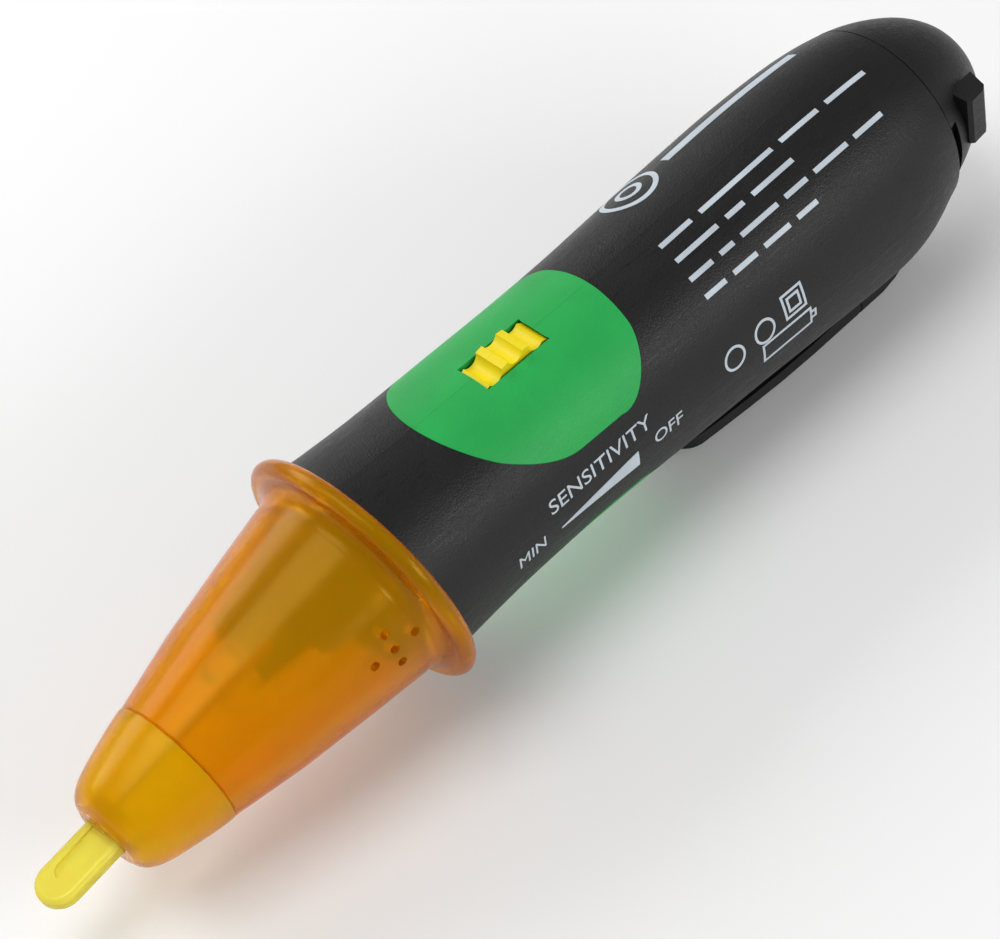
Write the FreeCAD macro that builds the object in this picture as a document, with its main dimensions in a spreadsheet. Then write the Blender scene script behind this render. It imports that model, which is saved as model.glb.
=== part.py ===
import FreeCAD, Part
import math
import os

import Sketcher
from FreeCAD import Placement, Rotation, Vector

# Pen style non contact voltage tester, 163 mm long.
# Body frame: +X runs along the barrel from the sensing tip to the tail, +Z is the thumbwheel side,
# -Y is the printed side.  The nose droops about the middle of its guard flange, so the nose pieces are
# drawn in a nose frame of their own (same axes, before the droop) and tilted together.

doc = FreeCAD.newDocument("voltage_tester")
sheet = doc.addObject("Spreadsheet::Sheet", "params")


class Dim(float):
    """A length or angle that remembers the spreadsheet expression it comes from."""

    def __new__(cls, value, expr=None):
        dim = float.__new__(cls, value)
        dim.expr = expr if expr is not None else "%.6g" % value
        return dim

    def _join(self, other, sign, value, swap=False):
        left, right = self.expr, other.expr if isinstance(other, Dim) else "%.6g" % other
        if swap:
            left, right = right, left
        return Dim(value, "(%s %s %s)" % (left, sign, right))

    def __add__(self, other):
        return self._join(other, "+", float(self) + float(other))

    def __radd__(self, other):
        return self._join(other, "+", float(self) + float(other), swap=True)

    def __sub__(self, other):
        return self._join(other, "-", float(self) - float(other))

    def __rsub__(self, other):
        return self._join(other, "-", float(other) - float(self), swap=True)

    def __mul__(self, other):
        return self._join(other, "*", float(self) * float(other))

    def __rmul__(self, other):
        return self._join(other, "*", float(self) * float(other), swap=True)

    def __truediv__(self, other):
        return self._join(other, "/", float(self) / float(other))

    def __neg__(self):
        return Dim(-float(self), "(0 - %s)" % self.expr)


rows = 0


def cell(alias, value, note=""):
    """Adds one driving dimension to the sheet and returns it."""
    global rows
    rows += 1
    sheet.set("A%d" % rows, note)
    sheet.set("B%d" % rows, "%.6g" % value)
    sheet.setAlias("B%d" % rows, alias)
    return Dim(value, "params." + alias)


def cosine(angle):
    return Dim(math.cos(math.radians(angle)), "cos(%s * 1 deg)" % angle.expr)


def sine(angle):
    return Dim(math.sin(math.radians(angle)), "sin(%s * 1 deg)" % angle.expr)


# ---------------------------------------------------------------- driving dimensions
# Barrel: at stations along X its radius above the axis, and how far its flanks swell below.
tail_x = cell("tail_x", 163.4, "tail end")
cap_x = cell("cap_x", 149.6, "joint of the end cap")
joint_gap = cell("joint_gap", 0.12, "gap at the cap joint")
STATIONS = (
    ("hidden", 50.0, 15.45, 0.0),
    ("collar", 56.0, 15.06, 0.0),
    ("neck", 66.5, 14.45, 0.0),
    ("wheel", 77.5, 14.22, 0.05),
    ("thumb", 88.0, 14.00, 0.5),
    ("waist", 98.5, 13.97, 1.0),
    ("label", 109.0, 14.25, 1.15),
    ("grip", 120.0, 14.56, 1.35),
    ("belly", 130.5, 14.68, 1.7),
    ("flank", 136.5, 14.52, 2.05),
    ("taper", 141.0, 14.27, 2.15),
    ("rear", 145.5, 13.76, 1.65),
    ("tail", 149.6, 12.95, 0.9),
)
for word, x, rad, swell in STATIONS:
    cell("x_" + word, x)
    cell("rad_" + word, rad)
    cell("swell_" + word, swell)
sink_share = cell("sink_share", 0.9, "how far a section's middle sinks, as a share of its swell")
widen_share = cell("widen_share", 0.33, "how much wider a section gets, as a share of its swell")
bore_r = cell("bore_r", 12.05, "inside of the barrel")
bore_x = cell("bore_x", 59.5, "front end of the bore")
mouth_x = cell("mouth_x", 141.6, "start of the narrower mouth that takes the cap")
mouth_r = cell("mouth_r", 11.2)
seam_w = cell("seam_w", 0.02, "air in the seam between the two shells")
# Nose: droop and outline, in the nose frame.
tilt = cell("tilt", 8.75, "droop of the nose in degrees")
flange_x = cell("flange_x", 56.0, "rear face of the guard flange and pivot of the droop")
flange_t = cell("flange_t", 2.5)
flange_r = cell("flange_r", 17.66)
lens_x = cell("lens_x", 22.3, "front edge of the lens")
lens_r = cell("lens_r", 9.22)
lens_wall = cell("lens_wall", 2.1)
collar_x = cell("collar_x", 49.5, "front of the collar that the lens slips over")
collar_r = cell("collar_r", 11.95)
collar_in = cell("collar_in", 10.7)
nose_x = cell("nose_x", 10.2, "front face of the nose cap")
tip_w = cell("tip_w", 6.1, "width of the tongue")
tip_t = cell("tip_t", 2.2, "thickness of the tongue")
tip_z = cell("tip_z", 0.25, "height of the tongue above the nose axis")
tip_x = cell("tip_x", -0.5, "front end of the tongue")
hole_r = cell("hole_r", 0.62, "sound hole")
hole_turn = cell("hole_turn", 77.0, "angle of the sound holes from the top, degrees")
hole_x = cell("hole_x", 47.9)
hole_dx = cell("hole_dx", 3.1)
hole_dy = cell("hole_dy", 2.5)
# Thumbwheel and its slot.
wheel_x = cell("wheel_x", 81.8)
wheel_z = cell("wheel_z", 6.0)
wheel_r = cell("wheel_r", 9.1)
wheel_w = cell("wheel_w", 4.4)
slot_len = cell("slot_len", 10.4)
slot_w = cell("slot_w", 5.2)
# Green inlay round the slot.
inlay_x = cell("inlay_x", 66.4)
inlay_end = cell("inlay_end", 96.6)
inlay_w = cell("inlay_w", 12.65)
inlay_t = cell("inlay_t", 1.0)
# Circuit board: it lies in the XZ plane.
board_y = cell("board_y", 2.6)
board_t = cell("board_t", 1.2)
board_front = cell("board_front", 37.0)
board_rear = cell("board_rear", 92.8)
# Cells.
cell_len = cell("cell_len", 44.5)
cell_r = cell("cell_r", 5.25)
cell_y = cell("cell_y", 5.38)
cell_x = cell("cell_x", 96.6, "front end of both cells")
# Clip.
clip_w = cell("clip_w", 14.6)
clip_x = cell("clip_x", 101.0, "free end")
clip_pin_x = cell("clip_pin_x", 134.5, "bending line at the root")
clip_pin_z = cell("clip_pin_z", -19.25)
clip_low = cell("clip_low", 20.2, "lowest point of the clip below the axis")
# Place of the whole in the row frame.
shift_x = cell("shift_x", -81.7515)
shift_z = clip_low


# ---------------------------------------------------------------- helpers
def bind(obj, prop, value):
    """Gives a property its size and ties it to the sheet."""
    if isinstance(value, Dim) and "params" in value.expr:
        obj.setExpression(prop, value.expr)
    else:
        obj.setExpression(prop, "%.6g" % float(value))


def place(obj, base, axis=None, angle=0):
    """Puts an object at base, turned about axis by angle degrees."""
    start = Vector(*[float(value) for value in base])
    obj.Placement = Placement(start, Rotation(Vector(*(axis or (0, 0, 1))), float(angle)))
    for letter, value in zip("xyz", base):
        bind(obj, "Placement.Base." + letter, value)
    if isinstance(angle, Dim):
        bind(obj, "Placement.Rotation.Angle", angle)
    return obj


def tube_along(name, rad, length, base, way="X"):
    """Solid cylinder from base along +X, +Y or +Z."""
    obj = doc.addObject("Part::Cylinder", name)
    bind(obj, "Radius", rad)
    bind(obj, "Height", length)
    turns = {"X": ((0, 1, 0), 90), "Y": ((1, 0, 0), -90), "Z": ((0, 0, 1), 0)}
    return place(obj, base, *turns[way])


def cone_along(name, rad_a, rad_b, length, base):
    obj = doc.addObject("Part::Cone", name)
    bind(obj, "Radius1", rad_a)
    bind(obj, "Radius2", rad_b)
    bind(obj, "Height", length)
    return place(obj, base, (0, 1, 0), 90)


def block(name, size, base):
    """Box with its low corner at base."""
    obj = doc.addObject("Part::Box", name)
    for prop, value in zip(("Length", "Width", "Height"), size):
        bind(obj, prop, value)
    return place(obj, base)


def ring(name, big, small, base, way="X"):
    obj = doc.addObject("Part::Torus", name)
    bind(obj, "Radius1", big)
    bind(obj, "Radius2", small)
    turns = {"X": ((0, 1, 0), 90), "Y": ((1, 0, 0), -90), "Z": ((0, 0, 1), 0)}
    return place(obj, base, *turns[way])


def ball(name, rad, base):
    obj = doc.addObject("Part::Sphere", name)
    bind(obj, "Radius", rad)
    return place(obj, base)


def turned(name, stations):
    """Smooth round solid through circles at the stations along X."""
    obj = doc.addObject("Part::Loft", name)
    circles = []
    for index, (x, rad) in enumerate(stations):
        circle = doc.addObject("Part::Circle", "%s_ring%d" % (name, index))
        bind(circle, "Radius", rad)
        place(circle, (x, 0, 0), (1, 1, 1), 120)
        circles.append(circle)
    obj.Sections = circles
    obj.Solid = True
    obj.Ruled = False
    return obj


def barrel_like(name, grow=0.0):
    """Smooth solid through the barrel's oval sections, grown all round; its seams lie at the flanks."""
    doc.recompute()
    wires = []
    for word, _x, _rad, _swell in STATIONS:
        x, rad, swell = [float(sheet.get(kind + word)) for kind in ("x_", "rad_", "swell_")]
        sink = float(sheet.get("sink_share")) * swell
        wide = rad + float(sheet.get("widen_share")) * swell + grow
        tall = max(rad + sink + grow, wide + 0.001)
        centre = Vector(x, 0, -sink)
        oval = Part.Ellipse(centre + Vector(0, 0, tall), centre + Vector(0, wide, 0), centre)
        quarter = math.pi / 2
        halves = [Part.Arc(oval, -quarter, quarter).toShape(), Part.Arc(oval, quarter, 3 * quarter).toShape()]
        wires.append(Part.Wire(halves))
    obj = doc.addObject("Part::Feature", name)
    obj.Shape = Part.makeLoft(wires, True, False)
    return obj


def fuse(name, shapes):
    obj = doc.addObject("Part::MultiFuse", name)
    obj.Shapes = shapes
    obj.Refine = True
    return obj


def cut(name, base, tools):
    tool = tools[0] if len(tools) == 1 else fuse(name + "_tools", tools)
    obj = doc.addObject("Part::Cut", name)
    obj.Base = base
    obj.Tool = tool
    obj.Refine = True
    return obj


def common(name, shapes):
    obj = doc.addObject("Part::MultiCommon", name)
    obj.Shapes = shapes
    return obj


def soften(name, base, rad, test):
    """Rounds the edges of base that pass test."""
    doc.recompute()
    obj = doc.addObject("Part::Fillet", name)
    obj.Base = base
    picks = [number + 1 for number, edge in enumerate(base.Shape.Edges) if test(edge)]
    obj.Edges = [(number, float(rad), float(rad)) for number in picks]
    return obj


def outline(body_or_doc, name, plane, corners, offset=None):
    """Closed sketch through corners; each corner is bound to the sheet.

    A corner is (u, v), or (u, v, mu, mv) where an arc through (mu, mv) leads to the next corner."""
    if plane is None:
        sketch = doc.addObject("Sketcher::SketchObject", name)
    else:
        sketch = body_or_doc.newObject("Sketcher::SketchObject", name)
        features = body_or_doc.Origin.OriginFeatures
        support = [item for item in features if item.Role == plane][0]
        sketch.AttachmentSupport = (support, [""])
        sketch.MapMode = "FlatFace"
        if offset is not None:
            bind(sketch, "AttachmentOffset.Base.z", offset)
    count = len(corners)
    points = [Vector(float(corner[0]), float(corner[1]), 0) for corner in corners]
    for index, corner in enumerate(corners):
        start, end = points[index], points[(index + 1) % count]
        if len(corner) == 4:
            middle = Vector(float(corner[2]), float(corner[3]), 0)
            sketch.addGeometry(Part.Arc(start, middle, end), False)
        else:
            sketch.addGeometry(Part.LineSegment(start, end), False)
    ends = []
    for index, corner in enumerate(corners):
        first, last = 1, 2
        if len(corner) == 4:
            gap = sketch.getPoint(index, 1).distanceToPoint(points[index])
            first, last = (1, 2) if gap < 1e-6 else (2, 1)
        ends.append((first, last))
    for index, corner in enumerate(corners):
        after = (index + 1) % count
        sketch.addConstraint(Sketcher.Constraint("Coincident", index, ends[index][1], after, ends[after][0]))
        for axis, value in zip("XY", corner[:2]):
            kind = "Distance" + axis
            number = sketch.addConstraint(
                Sketcher.Constraint(kind, -1, 1, index, ends[index][0], float(value)))
            if isinstance(value, Dim) and "params" in value.expr:
                sketch.setExpression("Constraints[%d]" % number, value.expr)
    return sketch


def body_of(name):
    return doc.addObject("PartDesign::Body", name)


def pad(body, sketch, length, middle=False, name="Pad"):
    feature = body.newObject("PartDesign::Pad", sketch.Name + name)
    feature.Profile = sketch
    bind(feature, "Length", length)
    if middle:
        feature.Midplane = True
    sketch.Visibility = False
    return feature


finished = {}
BARE = ("Part::Cylinder", "Part::Box", "Part::Sphere", "Part::Torus", "Part::Cone")


def group(name, shapes):
    """Several solids kept apart in one piece."""
    obj = doc.addObject("Part::Compound", name)
    obj.Links = shapes
    return obj


def droop_base(extra_x=0, extra_z=0):
    """Where the nose frame's origin lands once the nose droops about its flange."""
    return (extra_x + flange_x * (1 - cosine(tilt)), 0, extra_z - flange_x * sine(tilt))


def tilted(name, obj):
    """Copy of a nose-frame tool in the body frame, for a boolean there."""
    return place(group(name, [obj]), droop_base(), (0, -1, 0), tilt)


def publish(obj, label, nose=False, spot=(0, 0, 0)):
    """Names a finished piece and puts it in the row frame; spot is where its own origin lies."""
    if obj.TypeId in BARE:
        obj = group(obj.Name + "_piece", [obj])
    if nose:
        place(obj, droop_base(shift_x, shift_z + spot[2]), (0, -1, 0), tilt)
    else:
        place(obj, (shift_x + spot[0], spot[1], shift_z + spot[2]))
    obj.Label = label
    finished[label] = obj
    return obj


def half(name, side):
    """Big box on one side of the seam plane; side is -1 for the printed half."""
    y = seam_w / 2 if side > 0 else -60 - seam_w / 2
    return block(name, (260, 60, 120), (-40, y, -60))


SIDES = (("right", -1), ("left", 1))


# ---------------------------------------------------------------- barrel: two shells
def green_area(name, spare, low=0):
    """Upright prism over the thumb area from height low up, rounded in front and squarer behind."""
    body = body_of(name)
    front, end, side = inlay_x - spare, inlay_end + spare, inlay_w + spare
    corners = [
        (front + 4.6, side - 3.05, front + 9.0, side - 0.9),
        (front + 15.1, side),
        (end - 8.6, side, end - 3.0, side - 1.65),
        (end - 0.6, side - 5.25, end, Dim(0.0)),
        (end - 0.6, 5.25 - side, end - 3.0, 1.65 - side),
        (end - 8.6, -side),
        (front + 15.1, -side, front + 9.0, 0.9 - side),
        (front + 4.6, 3.05 - side, front, Dim(0.0)),
    ]
    pad(body, outline(body, name + "_outline", "XY_Plane", corners), Dim(30.0))
    return place(body, (0, 0, low))


def build_shells():
    outer = barrel_like("barrel_outer")
    behind = tilted("behind_flange", tube_along("behind", 40, 160, (flange_x + 0.02, 0, 0)))
    trimmed = common("barrel_trimmed", [outer, behind])
    collar = tilted("collar_turned", tube_along("collar", collar_r, flange_x - collar_x + 1.5, (collar_x, 0, 0)))
    blank = fuse("barrel_blank", [trimmed, collar])
    bore = tube_along("bore", bore_r, mouth_x - bore_x, (bore_x, 0, 0))
    mouth = tube_along("mouth", mouth_r, 40, (mouth_x - 1, 0, 0))
    throat = tilted("throat_turned", tube_along("throat", collar_in, 16, (collar_x - 1, 0, 0)))
    tail_cut = tube_along("tail_cut", 30, 20, (cap_x, 0, 0))
    slot = block("wheel_slot", (slot_len, slot_w, 12), (wheel_x - slot_len / 2, -slot_w / 2, 9))
    room = tube_along("wheel_room", wheel_r + 0.4, slot_w, (wheel_x, -slot_w / 2, wheel_z), "Y")
    over = barrel_like("over_skin", 3.0)
    under = barrel_like("under_skin", -float(inlay_t))
    areas = fuse("recess_areas", [green_area("thumb_area", Dim(0.0)), green_area("palm_area", Dim(0.0), -30)])
    recess = common("inlay_recess", [cut("skin", over, [under]), areas])
    hollow = cut("barrel_hollow", blank, [bore, mouth, throat, tail_cut, slot, room, recess])
    for word, side in SIDES:
        shell = common("shell_" + word, [hollow, half("half_" + word, side)])
        if side > 0:
            shell = cut("shell_left_cut", fuse("shell_left_joined", [shell, snout()]),
                        [tilted("snout_room", snout_room())])
        else:
            window = tilted("sound_window", tube_along("window", 5.4, 20, (buzzer_x(), -20, buzzer_z()), "Y"))
            shell = cut("shell_right_cut", shell, [window])
        publish(shell, "case_shell_" + word)
    skin = cut("green_skin", barrel_like("green_outer"), [barrel_like("green_under", 0.02 - float(inlay_t))])
    green_slot = block("green_slot", (slot_len, slot_w, 12), (wheel_x - slot_len / 2, -slot_w / 2, 9))
    wheel_gap = tube_along("green_wheel_room", wheel_r + 0.35, slot_w, (wheel_x, -slot_w / 2, wheel_z), "Y")
    thumb = cut("thumb_cut", common("thumb_all", [skin, green_area("green_area", Dim(-0.04))]),
                [green_slot, wheel_gap])
    palm = common("palm_all", [skin, green_area("palm_green_area", Dim(-0.04), -30)])
    for word, side in SIDES:
        publish(common("inlay_" + word, [thumb, half("green_half_" + word, side)]), "thumb_inlay_" + word)
        publish(common("palm_" + word, [palm, half("palm_half_" + word, side)]), "palm_inlay_" + word)


def buzzer_x():
    return hole_x


def buzzer_z():
    return Dim(1.8)


def snout():
    """Half round carrier of the left shell that reaches forward beside the board."""
    cone = cone_along("snout_cone", 8.6, 11.4, 14.4, (board_front + 0.2, 0, 0))
    inner = cone_along("snout_inner", 7.1, 9.9, 14.4, (board_front + 0.19, 0, 0))
    side = block("snout_side", (20, 20, 40), (35, board_y + board_t + 0.15, -20))
    return tilted("snout_turned", common("snout_shell", [cut("snout_ring", cone, [inner]), side]))


def snout_room():
    """Keeps the collar open in front of the board's neck."""
    return block("neck_room", (20, board_t + 0.2, 10.4), (40, board_y - 0.1, -5.2))


# ---------------------------------------------------------------- nose
def build_nose():
    body = body_of("lens")
    back = flange_x - flange_t
    outer = outline(body, "lens_profile", "XY_Plane", [
        (lens_x, lens_r - lens_wall),
        (lens_x, lens_r - 0.25),
        (lens_x + 0.25, lens_r),
        (lens_x + 10.3, lens_r + 2.06),
        (lens_x + 20.8, lens_r + 3.66),
        (back - 2.6, lens_r + 4.75, back - 0.95, lens_r + 5.3),
        (back - 0.1, lens_r + 6.9, back + 0.15, lens_r + 7.9),
        (back + 1.1, flange_r, back + 2.05, flange_r - 0.35),
        (flange_x, flange_r - 1.2),
        (flange_x, collar_r + 0.05),
        (collar_x + 0.2, collar_r + 0.05),
        (lens_x + 20.8, lens_r + 3.6 - lens_wall),
        (lens_x + 10.3, lens_r + 2.0 - lens_wall),
    ])
    turn = body.newObject("PartDesign::Revolution", "lens_turn")
    turn.Profile = outer
    turn.ReferenceAxis = (outer, ["H_Axis"])
    turn.Angle = 360
    holes = []
    for index, (dx, dy) in enumerate(((0, 0), (1, 0), (-1, 0), (0, 1), (0, -1))):
        drill = doc.addObject("Part::Cylinder", "sound_hole%d" % index)
        bind(drill, "Radius", hole_r)
        bind(drill, "Height", 9)
        place(drill, (hole_x + hole_dx * dx, hole_dy * dy, 9))
        holes.append(drill)
    drills = place(group("sound_holes", holes), (0, 0, 0), (1, 0, 0), hole_turn)
    publish(cut("lens_drilled", body, [drills]), "nose_cone", nose=True)

    shell = turned("cap_outer", [
        (nose_x + 0.35, Dim(5.2)),
        (nose_x + 1.4, lens_r - 2.83),
        (nose_x + 3.8, lens_r - 1.78),
        (nose_x + 7.8, lens_r - 0.77),
        (lens_x - 0.12, lens_r + 0.02),
    ])
    face = cone_along("cap_face", 4.3, 5.2, 0.4, (nose_x, 0, 0))
    cavity = turned("cap_cavity", [
        (nose_x + 3.0, Dim(4.4)),
        (nose_x + 7.8, lens_r - 2.9),
        (lens_x + 1, lens_r - 2.15),
    ])
    socket = block("tip_socket", (12, tip_w + 0.04, tip_t + 0.06),
                   (nose_x - 1, -(tip_w + 0.04) / 2, tip_z - 0.01 - (tip_t + 0.04) / 2))
    publish(cut("nose_cap_hollow", fuse("cap_blank", [shell, face]), [cavity, socket]), "nose_cap", nose=True)

    tongue = body_of("tongue")
    edge = tip_w / 2
    plan = outline(tongue, "tongue_plan", "XY_Plane", [
        (tip_x + edge, -edge, tip_x, Dim(0.0)),
        (tip_x + edge, edge),
        (nose_x + 2.6, edge),
        (nose_x + 2.6, -edge),
    ])
    plate = pad(tongue, plan, tip_t, middle=True)
    dip = outline(tongue, "tongue_dip", "XY_Plane", [
        (edge + 0.9, Dim(-1.5), edge - 0.45, Dim(0.0)),
        (edge + 0.9, Dim(1.5)),
        (nose_x - 0.15, Dim(1.75)),
        (nose_x - 0.15, Dim(-1.75)),
    ], offset=tip_t / 2 - 0.45)
    pocket = tongue.newObject("PartDesign::Pocket", "tongue_pocket")
    pocket.Profile = dip
    pocket.Reversed = True
    bind(pocket, "Length", 3)
    doc.recompute()
    print("tongue dip takes", round(plate.Shape.Volume - pocket.Shape.Volume, 2))
    rim = [number + 1 for number, line in enumerate(pocket.Shape.Edges)
           if abs(abs(line.CenterOfMass.z) - float(tip_t) / 2) < 0.01 and line.BoundBox.XMax < 12.9
           and (line.BoundBox.YLength > 5 or abs(line.CenterOfMass.y) > 2.5)]
    round_over = tongue.newObject("PartDesign::Fillet", "tongue_round")
    round_over.Base = (pocket, ["Edge%d" % number for number in rim])
    bind(round_over, "Radius", 0.8)
    publish(tongue, "sensing_tip", nose=True, spot=(0, 0, tip_z))


# ---------------------------------------------------------------- end cap
def spring(name, rad, wire, length, turns):
    """Round wire spring along +Z from the origin."""
    helix = doc.addObject("Part::Helix", name + "_path")
    bind(helix, "Pitch", Dim(float(length) / turns))
    bind(helix, "Height", length)
    bind(helix, "Radius", rad)
    circle = doc.addObject("Part::Circle", name + "_wire")
    bind(circle, "Radius", wire)
    place(circle, (rad, 0, 0), (1, 0, 0), 90)
    sweep = doc.addObject("Part::Sweep", name)
    sweep.Sections = [circle]
    sweep.Spine = (helix, ["Edge1"])
    sweep.Solid = True
    sweep.Frenet = True
    return sweep


def build_cap():
    dome = turned("dome", [
        (cap_x + joint_gap, Dim(12.93)),
        (tail_x - 12.0, Dim(12.45)),
        (tail_x - 10.0, Dim(11.74)),
        (tail_x - 7.8, Dim(10.75)),
        (tail_x - 5.6, Dim(9.52)),
        (tail_x - 3.6, Dim(8.02)),
        (tail_x - 2.0, Dim(6.35)),
        (tail_x - 0.95, Dim(4.7)),
        (tail_x - 0.3, Dim(2.9)),
        (tail_x, Dim(1.1)),
    ])
    skirt = tube_along("skirt", mouth_r - 0.08, 7.4, (cap_x - 7.0, 0, 0))
    grip = body_of("grip")
    profile = outline(grip, "grip_profile", "XY_Plane", [
        (cap_x + 3.3, Dim(-9.0)),
        (cap_x + 3.3, Dim(-12.2)),
        (cap_x + 3.8, Dim(-12.7)),
        (cap_x + 6.2, Dim(-12.5)),
        (cap_x + 7.0, Dim(-11.9)),
        (cap_x + 7.8, Dim(-9.0)),
    ])
    pad(grip, profile, 7.4, middle=True)
    place(grip, (0, 0, 3.0))
    parts = [dome, skirt, grip]
    slots = []
    for word, side in SIDES:
        low_y = 11.3 if side > 0 else -16.3
        slots.append(block("latch_slot_" + word, (1.4, 5, 9.4), (cap_x + joint_gap - 0.1, low_y, -4.9)))
    pocket = tube_along("cap_pocket", 9.95, 5.9, (cap_x - 7.1, 0, 0))
    groove = ring("cap_groove", mouth_r - 0.48, 0.52, (cap_x - 3.1, 0, 0))
    publish(cut("cap_cut", fuse("cap_whole", parts), [pocket, groove] + slots), "end_cap")
    publish(ring("seal", mouth_r - 0.48, 0.45, (cap_x - 3.1, 0, 0)), "cap_seal_ring")
    plate_x = cap_x - 1.7
    publish(tube_along("bridge", 9.8, 0.5, (plate_x, 0, 0)), "cap_contact_plate")
    rear = cell_x + cell_len - 1
    for word, side, start in (("right", -1, rear + 0.45), ("left", 1, rear + 1.45)):
        coil = spring("coil_" + word, 2.6, 0.3, plate_x - 0.32 - start, 3)
        turned_coil = place(group("coil_turned_" + word, [coil]), (start, side * cell_y, 0), (0, 1, 0), 90)
        publish(group("coil_set_" + word, [turned_coil]), "cap_spring_" + word)


# ---------------------------------------------------------------- clip
def build_clip():
    arm = body_of("arm")
    profile = outline(arm, "arm_profile", "XZ_Plane", [
        (clip_x, -clip_low + 3.2),
        (clip_x + 0.4, -clip_low + 2.5),
        (clip_x + 2.0, -clip_low + 2.15),
        (clip_x + 7.0, -clip_low + 1.5),
        (clip_x + 13.0, -clip_low + 0.8),
        (clip_x + 19.0, -clip_low + 0.25),
        (clip_x + 25.0, -clip_low),
        (clip_pin_x, -clip_low),
        (clip_pin_x, -clip_low + 1.9),
        (clip_x + 25.0, -clip_low + 1.8),
        (clip_x + 19.0, -clip_low + 2.0),
        (clip_x + 13.0, -clip_low + 2.5),
        (clip_x + 7.0, -clip_low + 3.2),
        (clip_x + 3.4, -clip_low + 3.75),
        (clip_x + 1.4, -clip_low + 3.85),
    ])
    pad(arm, profile, clip_w, middle=True)
    knuckle = tube_along("knuckle", 0.95, clip_w, (clip_pin_x, -clip_w / 2, clip_pin_z), "Y")
    plan = block("arm_plan", (60, clip_w, 20), (clip_x, -clip_w / 2, -30))
    plan = soften("arm_plan_round", plan, 4.0,
                  lambda edge: edge.BoundBox.ZLength > 10 and edge.BoundBox.XMax < float(clip_x) + 1)
    publish(common("arm_trimmed", [fuse("arm_joined", [arm, knuckle]), plan]), "pocket_clip")

    root = body_of("root")
    profile = outline(root, "root_profile", "XZ_Plane", [
        (clip_pin_x + 0.3, -clip_low),
        (clip_pin_x + 5.2, -clip_low),
        (clip_pin_x + 7.6, -clip_low + 0.6),
        (clip_pin_x + 10.0, -clip_low + 1.9),
        (clip_pin_x + 11.8, -clip_low + 3.6),
        (clip_pin_x + 11.8, Dim(-12.0)),
        (clip_pin_x + 0.3, Dim(-12.0)),
    ])
    pad(root, profile, clip_w, middle=True)
    room = tube_along("knuckle_room", 1.12, 40, (clip_pin_x, -20, clip_pin_z), "Y")
    publish(cut("root_cut", root, [fuse("root_tools", [room, barrel_like("root_seat", 0.02)])]), "clip_root")


# ---------------------------------------------------------------- thumbwheel and potentiometer
def disc(body, name, rad, centre=(0, 0), offset=None):
    """Full circle sketch in the XZ plane."""
    x, z = centre
    return outline(body, name, "XZ_Plane", [
        (x + rad, Dim(float(z)), Dim(float(x)), z + rad),
        (x - rad, Dim(float(z)), Dim(float(x)), z - rad),
    ], offset)


def build_wheel():
    body = body_of("wheel")
    plate = pad(body, disc(body, "wheel_disc", wheel_r), wheel_w, middle=True)
    doc.recompute()
    cup = body.newObject("PartDesign::Pocket", "wheel_cup")
    cup.Profile = disc(body, "cup_disc", Dim(5.9), offset=Dim(0.1))
    bind(cup, "Length", 6)
    doc.recompute()
    if cup.Shape.Volume > plate.Shape.Volume - 10 or cup.Shape.Solids[0].CenterOfMass.y > 0:
        cup.Reversed = True
        doc.recompute()
    bore = body.newObject("PartDesign::Pocket", "wheel_bore")
    bore.Profile = disc(body, "bore_disc", Dim(1.6))
    bore.Type = "ThroughAll"
    bore.Midplane = True
    valley = body.newObject("PartDesign::Pocket", "wheel_valley")
    valley.Profile = disc(body, "valley_disc", Dim(1.25), (0, wheel_r + 0.2))
    valley.Type = "ThroughAll"
    valley.Midplane = True
    doc.recompute()
    lone = valley.Shape.Volume
    fan = body.newObject("PartDesign::PolarPattern", "wheel_valleys")
    fan.Originals = [valley]
    fan.Axis = (doc.getObject("wheel_disc"), ["N_Axis"])
    fan.Angle = 360
    fan.Occurrences = 16
    body.Tip = fan
    doc.recompute()
    print("wheel valleys take", round(lone - fan.Shape.Volume, 2), "cup centre y", round(cup.Shape.Solids[0].CenterOfMass.y, 3))
    publish(body, "thumbwheel", spot=(wheel_x, 0, wheel_z))
    shaft = tube_along("rotor_shaft", 1.58, board_y - 0.1 + wheel_w / 2, (wheel_x, -wheel_w / 2, wheel_z), "Y")
    web = tube_along("rotor_web", 4.6, 0.24, (wheel_x, -0.08, wheel_z), "Y")
    notch = block("rotor_notch", (2.2, 0.6, 0.5), (wheel_x - 1.1, -wheel_w / 2 - 0.1, wheel_z - 0.25))
    publish(cut("rotor_cut", fuse("rotor_whole", [shaft, web]), [notch]), "potentiometer_rotor")
    can = tube_along("pot_can", 5.3, board_y - 0.35, (wheel_x, 0.35, wheel_z), "Y")
    eye = tube_along("pot_eye", 1.66, 4, (wheel_x, 0, wheel_z), "Y")
    publish(cut("pot_cut", can, [eye]), "potentiometer_body")
    pins = [block("pot_pin%d" % index, (0.8, 0.3, 2.6), (wheel_x - 3.4 + 3 * index, board_y - 0.3, wheel_z - 7.9))
            for index in range(3)]
    publish(group("pot_pins", pins), "potentiometer_terminals")


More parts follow.
